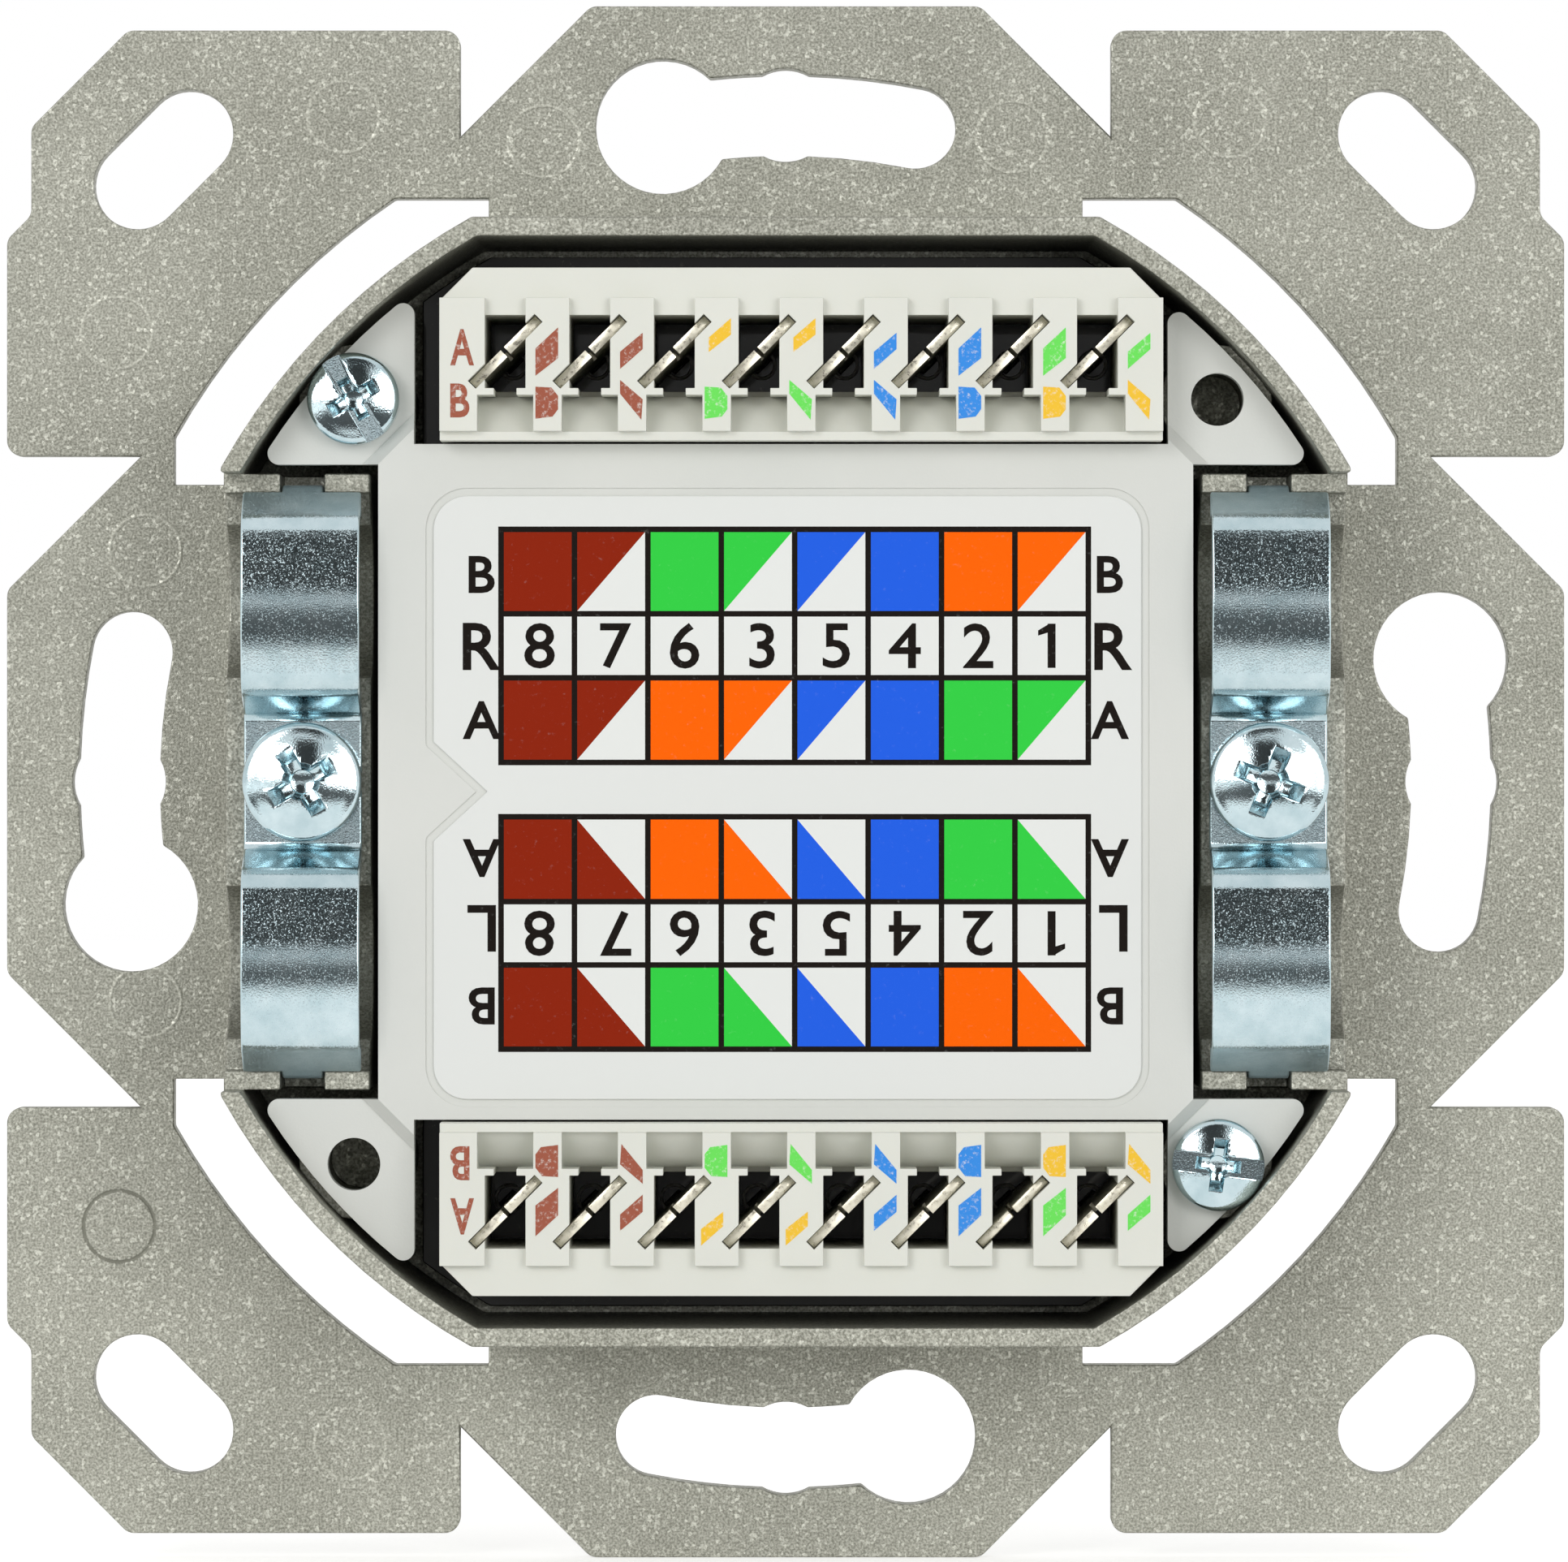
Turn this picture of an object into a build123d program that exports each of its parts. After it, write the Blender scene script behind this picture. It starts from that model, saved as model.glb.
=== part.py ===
from build123d import *
import os
from math import radians, sqrt, tan

# Flush-mounted network socket insert with two jacks, seen from its terminal side.
# +X is right and +Z is up as seen from behind, where the cables are connected.
# Heights grow towards the terminals, along -Y. The jacks open along +Y, into the room.
# The origin is the centre of the face that lies on the wall box.

os.makedirs("parts", exist_ok=True)

# Carrier plate
plate_width = 70.8
plate_height = 70.5
plate_thickness = 1.8
corner_setback = 1.1
corner_chamfer = 4.4
side_step_length = 4.0
notch_position = 14.8
notch_slope_sum = 44.1
plate_corner_radius = 0.7
notch_root_radius = 1.0

# Fixing slots in the plate
fixing_radius = 30.3
fixing_slot_width = 3.7
fixing_slot_half_angle = 11.2
fixing_head_diameter = 6.12
fixing_head_angle = 10.6
fixing_detent_diameter = 4.24
corner_slot_radius = 40.0
corner_slot_width = 4.0
corner_slot_reach = 3.3

# Housing wall that rises behind the plate
ring_flat_gap = 2.25
ring_wall = 0.85
ring_height = 14.0
crescent_width = 3.3
crescent_top = 26.5
crescent_side = 27.8
crescent_start = 13.5

# Circuit board
board_thickness = 1.6
board_gap = 1.2
board_side_gap = 0.2
board_ear_gap = 0.1
board_edge = 0.95
board_wall_gap = 0.55
pad_size = 3.2
pad_edge_x = 1.9
pad_edge_z = 2.6
tail_hole_gap = 0.15

# Terminal strips
strip_length = 32.0
strip_centre = 0.69
strip_outer = 22.75
strip_depth = 7.65
strip_corner_gap = 0.37
strip_top = 14.5
strip_rail_drop = 0.6
strip_channel_floor = 9.5
strip_chamfer = 1.45
strip_ledge = 1.35
strip_lip = 0.4
slot_count = 8
slot_pitch = 3.74
window_width = 1.8
window_low = 17.4
window_high = 20.65
neck_width = 1.0
lead_channel_width = 2.48
lead_channel_top = 17.1
lead_crease_z = 16.6
lead_crease_height = 12.5
lead_low_height = 11.4
lead_high_height = 13.4

# Terminal contacts
contact_length = 4.1
contact_angle = 45.0
contact_thickness = 0.42
contact_split = 0.2
contact_split_depth = 5.5
contact_top = 13.6
contact_foot = 0.3
contact_clearance = 0.04
tail_width = 0.6
tail_thickness = 0.4
tail_reach = 0.7

# Jacks
jack_spacing = 20.6
jack_width = 15.9
jack_height = 13.4
jack_reach = 13.5
shield_thickness = 0.3
shield_clearance = 0.05
shield_window_margin = 0.35
plug_width = 11.8
plug_high = 3.7
plug_low = -3.2
plug_depth = 12.0
latch_width = 6.3
latch_drop = 1.6
latch_tip_width = 3.3
latch_tip_drop = 0.9
jack_pocket_clearance = 0.1
wire_count = 8
wire_pitch = 1.02
wire_size = 0.4
wire_slot_clearance = 0.08
wire_rise = 1.1
wire_bend_depth = 2.1
wire_bend_drop = 0.9
wire_bend_slip = 0.15
wire_angle = 24.0
wire_tip_depth = 7.0
wire_comb_front = 1.2
wire_tail_reach = 0.6

# Jack box of the casting
jack_box_wall = 1.25
jack_box_side_wall = 1.3
jack_box_corner = 1.0
centre_thread_diameter = 2.5
centre_thread_depth = 10.0

# Cable clamps
clamp_wall_gap = 0.025
clamp_seat_margin = 0.375
clamp_seat_height = 9.6
clamp_seat_half_length = 13.7
clamp_saddle_position = 8.05
clamp_saddle_radius = 3.4
lug_height = 11.2
lug_thickness = 0.85
lug_gap = 0.2
strap_width = 5.25
strap_thickness = 1.0
strap_flat_half = 3.3
strap_shoulder_z = 4.4
strap_shoulder_rise = 3.1
strap_crest_z = 8.2
strap_crest_rise = 3.8
strap_outer_z = 11.4
strap_outer_rise = 3.1
strap_foot_rise = 0.6
strap_bend_radius = 0.9
strap_crest_radius = 12.0
tongue_z = 12.7
tongue_width = 1.8
tongue_clearance = 0.08
tongue_depth = 2.0
tongue_gap = 0.1

# Screws
clamp_screw_diameter = 3.0
clamp_screw_length = 8.4
clamp_head_diameter = 5.3
clamp_head_height = 2.0
clamp_hole_diameter = 3.3
cover_screw_diameter = 2.5
cover_screw_length = 6.0
cover_head_diameter = 4.1
cover_head_height = 1.6
screw_clearance = 0.05
clamp_recess_length = 3.3
clamp_recess_width = 0.8
cover_recess_length = 2.4
cover_recess_width = 0.65
recess_depth = 1.1
slot_width = 0.9
slot_depth = 0.5
head_edge_chamfer = 0.6

# Cover plate
cover_top = 12.0
cover_thickness = 1.5
cover_wall = 1.2
cover_seat_gap = 0.4
cover_wall_gap = 0.4
cover_strip_gap = 0.1
cover_cutout_left_gap = 1.2
cover_cutout_right_gap = 0.3
cover_clamp_half_length = 14.1
cover_ear_drop = 0.6
cover_step_sum = 32.9
cover_step_chamfer = 0.5
cover_tip_radius = 0.5
cover_head_gap = 0.06
cover_hole_diameter = 2.7
spare_hole_diameter = 2.35
post_diameter = 5.0
post_gap = 0.3
post_strip_gap = 0.01

# Wiring label
label_width = 31.45
label_top_margin = 2.3
label_low_margin = 0.9
label_x = 0.08
label_radius = 1.5
label_thickness = 0.15
label_recess = 0.1
label_margin = 0.35
label_notch_depth = 2.4
label_notch_half = 2.2
label_notch_z = -0.43

# Values that follow from the sizes above
clamp_screw_size = (clamp_head_diameter, clamp_head_height, clamp_screw_diameter, clamp_screw_length)
clamp_recess_size = (clamp_recess_length, clamp_recess_width)
cover_screw_size = (cover_head_diameter, cover_head_height, cover_screw_diameter, cover_screw_length)
cover_recess_size = (cover_recess_length, cover_recess_width)
board_low = board_gap
board_top = board_gap + board_thickness
ear_top = cover_top - cover_ear_drop
ear_low = ear_top - cover_thickness

# The housing wall passes just outside the strips' corners
strip_end = strip_centre + strip_length / 2
strip_inner = strip_outer - strip_depth
strip_corner_radius = sqrt((strip_end - strip_chamfer) ** 2 + strip_outer**2)
ring_inner_radius = strip_corner_radius + strip_corner_gap
ring_radius = ring_inner_radius + ring_wall
crescent_radius = ring_radius + crescent_width
window_mid = (window_low + window_high) / 2

# Straps lie just inside the wall's flats, and the cover fits between the clamp seats
ring_flat = strip_outer + ring_flat_gap
clamp_position = ring_flat - ring_wall - clamp_wall_gap - strap_width / 2
clamp_seat_inner = clamp_position - strap_width / 2 - clamp_seat_margin
cover_half_width = clamp_seat_inner - cover_seat_gap
cover_radius = ring_inner_radius - cover_wall_gap
cover_z_edge = strip_inner - cover_strip_gap
cover_cutout_left = strip_length - strip_end + cover_cutout_left_gap
cover_cutout_right = strip_end + cover_cutout_right_gap
cover_screw_circle = ring_inner_radius - cover_head_diameter / 2 - cover_head_gap
cover_screw_x = strip_end + post_strip_gap + post_diameter / 2
cover_screw_z = sqrt(cover_screw_circle**2 - cover_screw_x**2)
board_half_width = cover_half_width - board_side_gap
board_half_height = strip_outer + board_edge
pad_x = board_half_width - pad_edge_x
pad_z = cover_clamp_half_length - pad_edge_z
board_radius = ring_inner_radius - board_wall_gap
board_ear_left = cover_cutout_left - board_ear_gap
board_ear_right = cover_cutout_right - board_ear_gap
label_height = 2 * cover_z_edge - label_top_margin - label_low_margin
label_z = (label_low_margin - label_top_margin) / 2


def level(height):
    """A plane parallel to the wall, at a height towards the terminals, with +Z up."""
    return Plane.XZ.offset(height)


def side_plane(x):
    """A plane across the part at x: its first axis is +Z and its second is the height."""
    return Plane(origin=(x, 0, 0), x_dir=(0, 0, 1), z_dir=(1, 0, 0))


def ring_outline(inset):
    """The housing wall's outline: a circle with four flats."""
    Circle(ring_radius - inset)
    Rectangle(2 * (ring_flat - inset), 2 * (ring_flat - inset), mode=Mode.INTERSECT)


def export(piece, name):
    piece.part.label = name
    export_step(piece.part, f"parts/{name}.step")


# Outline of the carrier plate: one quarter, mirrored about both axes
half_w = plate_width / 2
half_h = plate_height / 2
step_x = half_w - corner_setback
step_z = half_h - corner_setback
side_step = step_z - corner_chamfer - side_step_length

with BuildSketch() as plate_outline:
    with BuildLine():
        Polyline(
            (0, 0),
            (0, half_h),
            (notch_slope_sum - half_h, half_h),
            (notch_position, notch_slope_sum - notch_position),
            (notch_position, step_z),
            (step_x - corner_chamfer, step_z),
            (step_x, step_z - corner_chamfer),
            (step_x, side_step),
            (half_w, side_step - corner_setback),
            (half_w, notch_position),
            (notch_slope_sum - notch_position, notch_position),
            (half_w, notch_slope_sum - half_w),
            (half_w, 0),
            close=True,
        )
    make_face()
    mirror(about=Plane.YZ)
    mirror(about=Plane.XZ)
    root_distance = Vector(notch_position, notch_slope_sum - notch_position).length
    notch_roots = plate_outline.vertices().filter_by(
        lambda v: abs(Vector(v.X, v.Y).length - root_distance) < 0.01
    )
    outer_corners = plate_outline.vertices().filter_by(
        lambda v: Vector(v.X, v.Y).length > root_distance + 0.01 and min(abs(v.X), abs(v.Y)) > 1
    )
    fillet(outer_corners, plate_corner_radius)
    fillet(notch_roots, notch_root_radius)

# Fixing slot: an arc slot for the wall box's screw, with a round entry for its head
with BuildSketch() as fixing_slot:
    with BuildLine(mode=Mode.PRIVATE) as slot_line:
        CenterArc(
            (0, 0), fixing_radius, 90 - fixing_slot_half_angle, fixing_slot_half_angle + fixing_head_angle
        )
    SlotArc(slot_line.edges()[0], fixing_slot_width)
    with PolarLocations(fixing_radius, 1, start_angle=90 + fixing_head_angle):
        Circle(fixing_head_diameter / 2)
    with Locations((0, fixing_radius)):
        Circle(fixing_detent_diameter / 2)

with BuildSketch() as ring_shadow:
    ring_outline(0)

# Crescent window between the housing wall and the plate's corner
with BuildSketch() as crescent:
    with Locations((crescent_start, crescent_start)):
        Rectangle(
            crescent_side - crescent_start, crescent_top - crescent_start, align=(Align.MIN, Align.MIN)
        )
    Circle(crescent_radius, mode=Mode.INTERSECT)
    add(ring_shadow.sketch, mode=Mode.SUBTRACT)

with BuildPart() as carrier_casting:
    # Plate with its openings
    with BuildSketch(level(-plate_thickness)):
        add(plate_outline.sketch)
        for turn in range(4):
            add(fixing_slot.sketch.rotate(Axis.Z, 90 * turn), mode=Mode.SUBTRACT)
        with PolarLocations(corner_slot_radius, 4, start_angle=45):
            SlotCenterToCenter(corner_slot_reach, corner_slot_width, rotation=90, mode=Mode.SUBTRACT)
        for about in (Plane.XY, Plane.YZ, Plane.XZ):
            window = crescent.sketch if about == Plane.XY else crescent.sketch.mirror(about)
            add(window, mode=Mode.SUBTRACT)
        add(crescent.sketch.rotate(Axis.Z, 180), mode=Mode.SUBTRACT)
    extrude(amount=plate_thickness)

    # Wall round the terminals
    with BuildSketch(level(0)):
        ring_outline(0)
    extrude(amount=ring_height)
    with BuildSketch(level(0)):
        ring_outline(ring_wall)
    extrude(amount=ring_height, mode=Mode.SUBTRACT)

    # Clamp seats with a lug at each end, lower than the wall and open at the sides
    seat_middle = (clamp_seat_inner + ring_flat) / 2
    seat_width = ring_flat - clamp_seat_inner
    with BuildSketch(level(clamp_seat_height)):
        with GridLocations(2 * ring_flat, 0, 2, 1):
            Rectangle(2 * ring_wall + tongue_clearance, 2 * clamp_seat_half_length)
    extrude(amount=ring_height, mode=Mode.SUBTRACT)
    with BuildSketch(level(0)):
        with GridLocations(2 * seat_middle, 0, 2, 1):
            Rectangle(seat_width, 2 * clamp_seat_half_length)
    extrude(amount=clamp_seat_height)
    with BuildSketch(level(clamp_seat_height)):
        with GridLocations(2 * seat_middle, 2 * clamp_seat_half_length - lug_thickness, 2, 2):
            Rectangle(seat_width, lug_thickness)
    extrude(amount=lug_height - clamp_seat_height)

    # Slots for the strap's bent tongues
    tongue_slot_length = clamp_seat_half_length - tongue_z + strap_thickness / 2 + tongue_gap
    with BuildSketch(level(lug_height)):
        with GridLocations(2 * clamp_position, 2 * clamp_seat_half_length - tongue_slot_length, 2, 2):
            Rectangle(tongue_width + 2 * tongue_clearance, tongue_slot_length)
    extrude(amount=-(lug_height - clamp_seat_height + tongue_depth + tongue_gap), mode=Mode.SUBTRACT)

    # Saddles where a cable lies under each arch
    with BuildSketch(side_plane(-ring_flat), side_plane(clamp_seat_inner)):
        with Locations(*[(s * clamp_saddle_position, clamp_seat_height) for s in (-1, 1)]):
            Circle(clamp_saddle_radius)
    extrude(amount=seat_width, mode=Mode.SUBTRACT)

    # Posts under the cover's ears and pads under the board
    with BuildSketch(level(0)):
        with GridLocations(2 * cover_screw_x, 2 * cover_screw_z, 2, 2):
            Circle(post_diameter / 2)
        Circle(ring_radius - ring_wall / 2, mode=Mode.INTERSECT)
    extrude(amount=ear_low)
    with BuildSketch(level(0)):
        with GridLocations(2 * pad_x, 2 * pad_z, 2, 2):
            Rectangle(pad_size, pad_size)
    extrude(amount=board_low)

    # Jack box in front of the plate, open to the board
    box_half_x = jack_spacing / 2 + jack_width / 2 + jack_pocket_clearance + jack_box_side_wall
    box_half_z = jack_height / 2 + jack_pocket_clearance + jack_box_wall
    with BuildSketch(level(-jack_reach)):
        RectangleRounded(2 * box_half_x, 2 * box_half_z, jack_box_corner)
    extrude(amount=jack_reach - plate_thickness)
    with BuildSketch(level(-jack_reach)):
        with GridLocations(jack_spacing, 0, 2, 1):
            Rectangle(jack_width + 2 * jack_pocket_clearance, jack_height + 2 * jack_pocket_clearance)
    extrude(amount=jack_reach, mode=Mode.SUBTRACT)

    # Threaded holes for the centre plate, the cover's screws and the clamp screws
    with BuildSketch(level(-jack_reach)):
        Circle(centre_thread_diameter / 2)
    extrude(amount=centre_thread_depth, mode=Mode.SUBTRACT)
    with BuildSketch(level(ear_low)):
        with GridLocations(2 * cover_screw_x, 2 * cover_screw_z, 2, 2):
            Circle(cover_screw_diameter / 2 + screw_clearance)
    extrude(amount=-cover_screw_length, mode=Mode.SUBTRACT)
    with BuildSketch(level(clamp_seat_height)):
        with GridLocations(2 * clamp_position, 0, 2, 1):
            Circle(clamp_screw_diameter / 2 + screw_clearance)
    extrude(amount=-clamp_screw_length, mode=Mode.SUBTRACT)

export(carrier_casting, "carrier_casting")

# Places of the terminals and of the jacks' wires
slot_places = [strip_centre + (index - (slot_count - 1) / 2) * slot_pitch for index in range(slot_count)]
wire_places = [(index - (wire_count - 1) / 2) * wire_pitch for index in range(wire_count)]
wire_z = plug_high + wire_rise
strip_turn = Axis((strip_centre, 0, 0), (0, 1, 0))
strip_turn_2d = Axis((strip_centre, 0, 0), (0, 0, 1))

# Circuit board between the jacks and the terminals
with BuildSketch() as tail_hole:
    Rectangle(tail_width + 2 * tail_hole_gap, tail_thickness + 2 * tail_hole_gap, rotation=contact_angle)

with BuildPart() as circuit_board:
    with BuildSketch(level(board_low)):
        Rectangle(2 * board_half_width, 2 * cover_clamp_half_length)
        with Locations(((board_ear_right - board_ear_left) / 2, 0)):
            Rectangle(board_ear_left + board_ear_right, 2 * board_half_height)
        Circle(board_radius, mode=Mode.INTERSECT)
        with GridLocations(2 * cover_screw_x, 2 * cover_screw_z, 2, 2):
            Circle(post_diameter / 2 + post_gap, mode=Mode.SUBTRACT)
        for turn in (0, 180):
            for x in slot_places:
                hole = tail_hole.sketch.moved(Location((x, window_mid, 0))).rotate(strip_turn_2d, turn)
                add(hole, mode=Mode.SUBTRACT)
        with Locations(*[(s * jack_spacing / 2 + x, wire_z) for x in wire_places for s in (-1, 1)]):
            Rectangle(wire_size + 2 * tail_hole_gap, wire_size + 2 * tail_hole_gap, mode=Mode.SUBTRACT)
    extrude(amount=board_thickness)

export(circuit_board, "circuit_board")

# Terminal strip: a comb of pillars on a base, with an open window down to the board for each contact
strip_middle = (strip_inner + strip_outer) / 2
pillar_low = strip_inner + strip_lip
pillar_high = strip_outer - strip_ledge
rail_top = strip_top - strip_rail_drop

with BuildPart() as terminal_strip_top:
    with BuildSketch(level(board_top)) as strip_base:
        with Locations((strip_centre, strip_middle)):
            Rectangle(strip_length, strip_outer - strip_inner)
        chamfer(strip_base.vertices().group_by(Axis.Y)[-1], strip_chamfer)
    extrude(amount=rail_top - board_top)
    with BuildSketch(level(rail_top)):
        with Locations((strip_centre, (pillar_low + pillar_high) / 2)):
            Rectangle(strip_length, pillar_high - pillar_low)
    extrude(amount=strip_rail_drop)

    # Way in for each wire over the outer rail, and the ramp that it lies on at the inner side
    with BuildSketch(level(strip_top)):
        for x in slot_places:
            with Locations((x, pillar_high)):
                Rectangle(window_width, pillar_high - window_high, align=(Align.CENTER, Align.MAX))
    extrude(amount=-strip_rail_drop, mode=Mode.SUBTRACT)
    with BuildSketch(*[side_plane(x - lead_channel_width / 2) for x in slot_places]):
        with BuildLine():
            Polyline(
                (pillar_low, strip_top),
                (pillar_low, lead_high_height),
                (lead_crease_z, lead_crease_height),
                (lead_channel_top, lead_low_height),
                (lead_channel_top, strip_top),
                close=True,
            )
        make_face()
    extrude(amount=lead_channel_width, mode=Mode.SUBTRACT)

    # Narrow neck between a pair of teeth on either side of the window
    with BuildSketch(level(strip_top)):
        for x in slot_places:
            with Locations((x, (lead_channel_top + window_mid) / 2)):
                Rectangle(neck_width, window_mid - lead_channel_top)
    extrude(amount=strip_channel_floor - strip_top, mode=Mode.SUBTRACT)

    # Window and the slanted groove that holds the contact
    with BuildSketch(level(strip_top)):
        for x in slot_places:
            with Locations((x, window_mid)):
                Rectangle(window_width, window_high - window_low)
                Rectangle(
                    contact_length + 2 * contact_clearance,
                    contact_thickness + 2 * contact_clearance,
                    rotation=contact_angle,
                )
    extrude(amount=board_top - strip_top, mode=Mode.SUBTRACT)

export(terminal_strip_top, "terminal_strip_top")

with BuildPart() as terminal_strip_bottom:
    add(terminal_strip_top.part.rotate(strip_turn, 180))

export(terminal_strip_bottom, "terminal_strip_bottom")

# Terminal contacts: split blades that cut into a wire's insulation, with a tail through the board
contact_low = board_top + contact_foot
for row, turn in (("top", 0), ("bottom", 180)):
    for index, x in enumerate(slot_places):
        with BuildPart() as idc_contact:
            with BuildSketch(level(contact_low)):
                with Locations((x, window_mid)):
                    Rectangle(contact_length, contact_thickness, rotation=contact_angle)
            extrude(amount=contact_top - contact_low)
            with BuildSketch(level(contact_top)):
                with Locations((x, window_mid)):
                    Rectangle(contact_split, 2 * contact_thickness, rotation=contact_angle)
            extrude(amount=-contact_split_depth, mode=Mode.SUBTRACT)
            with BuildSketch(level(board_low - tail_reach)):
                with Locations((x, window_mid)):
                    Rectangle(tail_width, tail_thickness, rotation=contact_angle)
            extrude(amount=contact_low - board_low + tail_reach)
            if turn:
                add(idc_contact.part.rotate(strip_turn, turn), mode=Mode.REPLACE)
        export(idc_contact, f"idc_contact_{row}_{index + 1}")

# Jack housings, shields and spring wires
housing_width = jack_width - 2 * (shield_thickness + shield_clearance)
housing_height = jack_height - 2 * (shield_thickness + shield_clearance)
housing_front = jack_reach - shield_thickness
latch_low = plug_low - latch_drop
latch_tip_low = latch_low - latch_tip_drop
opening_middle = (plug_high + latch_tip_low) / 2
opening_height = plug_high - latch_tip_low
wire_slot_top = wire_z + wire_size / 2 + wire_slot_clearance
wire_bend = jack_reach - wire_bend_depth
wire_return = wire_bend - wire_bend_slip
wire_tip = jack_reach - wire_tip_depth
wire_tip_drop = wire_bend_drop + (wire_return - wire_tip) * tan(radians(wire_angle))

for side, centre in (("left", -jack_spacing / 2), ("right", jack_spacing / 2)):
    with BuildPart() as jack_housing:
        with BuildSketch(level(board_low)):
            with Locations((centre, 0)):
                Rectangle(housing_width, housing_height)
        extrude(amount=-(board_low + housing_front))
        with BuildSketch(level(-housing_front)):
            with Locations((centre, 0)):
                with Locations((0, (plug_high + plug_low) / 2)):
                    Rectangle(plug_width, plug_high - plug_low)
                with Locations((0, plug_low)):
                    Rectangle(latch_width, latch_drop, align=(Align.CENTER, Align.MAX))
                with Locations((0, latch_low)):
                    Rectangle(latch_tip_width, latch_tip_drop, align=(Align.CENTER, Align.MAX))
        extrude(amount=plug_depth, mode=Mode.SUBTRACT)
        with BuildSketch(level(board_low)):
            for x in wire_places:
                with Locations((centre + x, plug_high)):
                    Rectangle(
                        wire_size + 2 * wire_slot_clearance,
                        wire_slot_top - plug_high,
                        align=(Align.CENTER, Align.MIN),
                    )
        extrude(amount=-(board_low + housing_front - wire_comb_front), mode=Mode.SUBTRACT)
    export(jack_housing, f"jack_housing_{side}")

    with BuildPart() as jack_shield:
        with BuildSketch(level(board_low)):
            with Locations((centre, 0)):
                Rectangle(jack_width, jack_height)
        extrude(amount=-(board_low + jack_reach))
        with BuildSketch(level(board_low)):
            with Locations((centre, 0)):
                Rectangle(jack_width - 2 * shield_thickness, jack_height - 2 * shield_thickness)
        extrude(amount=-(board_low + housing_front), mode=Mode.SUBTRACT)
        with BuildSketch(level(-jack_reach)):
            with Locations((centre, opening_middle)):
                Rectangle(
                    plug_width + 2 * shield_window_margin, opening_height + 2 * shield_window_margin
                )
        extrude(amount=shield_thickness, mode=Mode.SUBTRACT)
    export(jack_shield, f"jack_shield_{side}")

    for index, x in enumerate(wire_places):
        with BuildPart() as jack_wire:
            with BuildLine(side_plane(centre + x)):
                Polyline(
                    (wire_z, board_top + wire_tail_reach),
                    (wire_z, -wire_bend),
                    (wire_z - wire_bend_drop, -wire_return),
                    (wire_z - wire_tip_drop, -wire_tip),
                )
            with BuildSketch(level(board_top + wire_tail_reach)):
                with Locations((centre + x, wire_z)):
                    Rectangle(wire_size, wire_size)
            sweep(transition=Transition.RIGHT)
        export(jack_wire, f"jack_wire_{side}_{index + 1}")

# Clamp straps: a steel strip with two arches, held at its middle and guided by a tongue at each end
strap_mid = clamp_seat_height + strap_thickness / 2
strap_top = clamp_seat_height + strap_thickness
tongue_end = clamp_seat_height - tongue_depth
shoulder = (strap_width - tongue_width) / 2

for side, centre in (("left", -clamp_position), ("right", clamp_position)):
    with BuildPart() as clamp_strap:
        with BuildLine(side_plane(centre)):
            FilletPolyline(
                (0, strap_mid),
                (strap_flat_half, strap_mid),
                (strap_shoulder_z, strap_mid + strap_shoulder_rise),
                (strap_crest_z, strap_mid + strap_crest_rise),
                (strap_outer_z, strap_mid + strap_outer_rise),
                (tongue_z, strap_mid + strap_foot_rise),
                (tongue_z, tongue_end),
                radius=[
                    strap_bend_radius,
                    strap_bend_radius,
                    strap_crest_radius,
                    strap_bend_radius,
                    strap_bend_radius,
                ],
            )
        with BuildSketch(Plane.XY):
            with Locations((centre, -strap_mid)):
                Rectangle(strap_width, strap_thickness)
        sweep()
        mirror(about=Plane.XY)

        # Shoulders cut away so that only the tongues reach down between the lugs
        with BuildSketch(level(tongue_end)):
            with GridLocations(0, 2 * tongue_z, 1, 2):
                with Locations((centre - strap_width / 2, 0)):
                    Rectangle(shoulder, 2 * strap_thickness, align=(Align.MIN, Align.CENTER))
                with Locations((centre + strap_width / 2, 0)):
                    Rectangle(shoulder, 2 * strap_thickness, align=(Align.MAX, Align.CENTER))
        extrude(amount=lug_height + lug_gap - tongue_end, mode=Mode.SUBTRACT)
        with BuildSketch(level(clamp_seat_height)):
            with Locations((centre, 0)):
                Circle(clamp_hole_diameter / 2)
        extrude(amount=strap_thickness, mode=Mode.SUBTRACT)
    export(clamp_strap, f"clamp_strap_{side}")


# Cover plate: a shallow box over the board, with an ear in each corner of the housing
with BuildSketch() as cover_outline:
    Circle(cover_radius)
    with GridLocations(0, 2 * cover_radius + 2 * cover_z_edge, 1, 2):
        with Locations(((cover_cutout_right - cover_cutout_left) / 2, 0)):
            Rectangle(cover_cutout_left + cover_cutout_right, 2 * cover_radius, mode=Mode.SUBTRACT)
    with GridLocations(2 * cover_radius + 2 * cover_half_width, 0, 2, 1):
        Rectangle(2 * cover_radius, 2 * cover_clamp_half_length, mode=Mode.SUBTRACT)
    ear_tips = cover_outline.vertices().filter_by(
        lambda v: abs(Vector(v.X, v.Y).length - cover_radius) < 0.01
    )
    fillet(ear_tips, cover_tip_radius)

with BuildSketch() as label_outline:
    with Locations((label_x, label_z)):
        RectangleRounded(label_width, label_height, label_radius)
    with BuildLine():
        notch_x = label_x - label_width / 2
        Polyline(
            (notch_x, label_notch_z - label_notch_half),
            (notch_x + label_notch_depth, label_notch_z),
            (notch_x, label_notch_z + label_notch_half),
            close=True,
        )
    make_face(mode=Mode.SUBTRACT)

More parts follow.
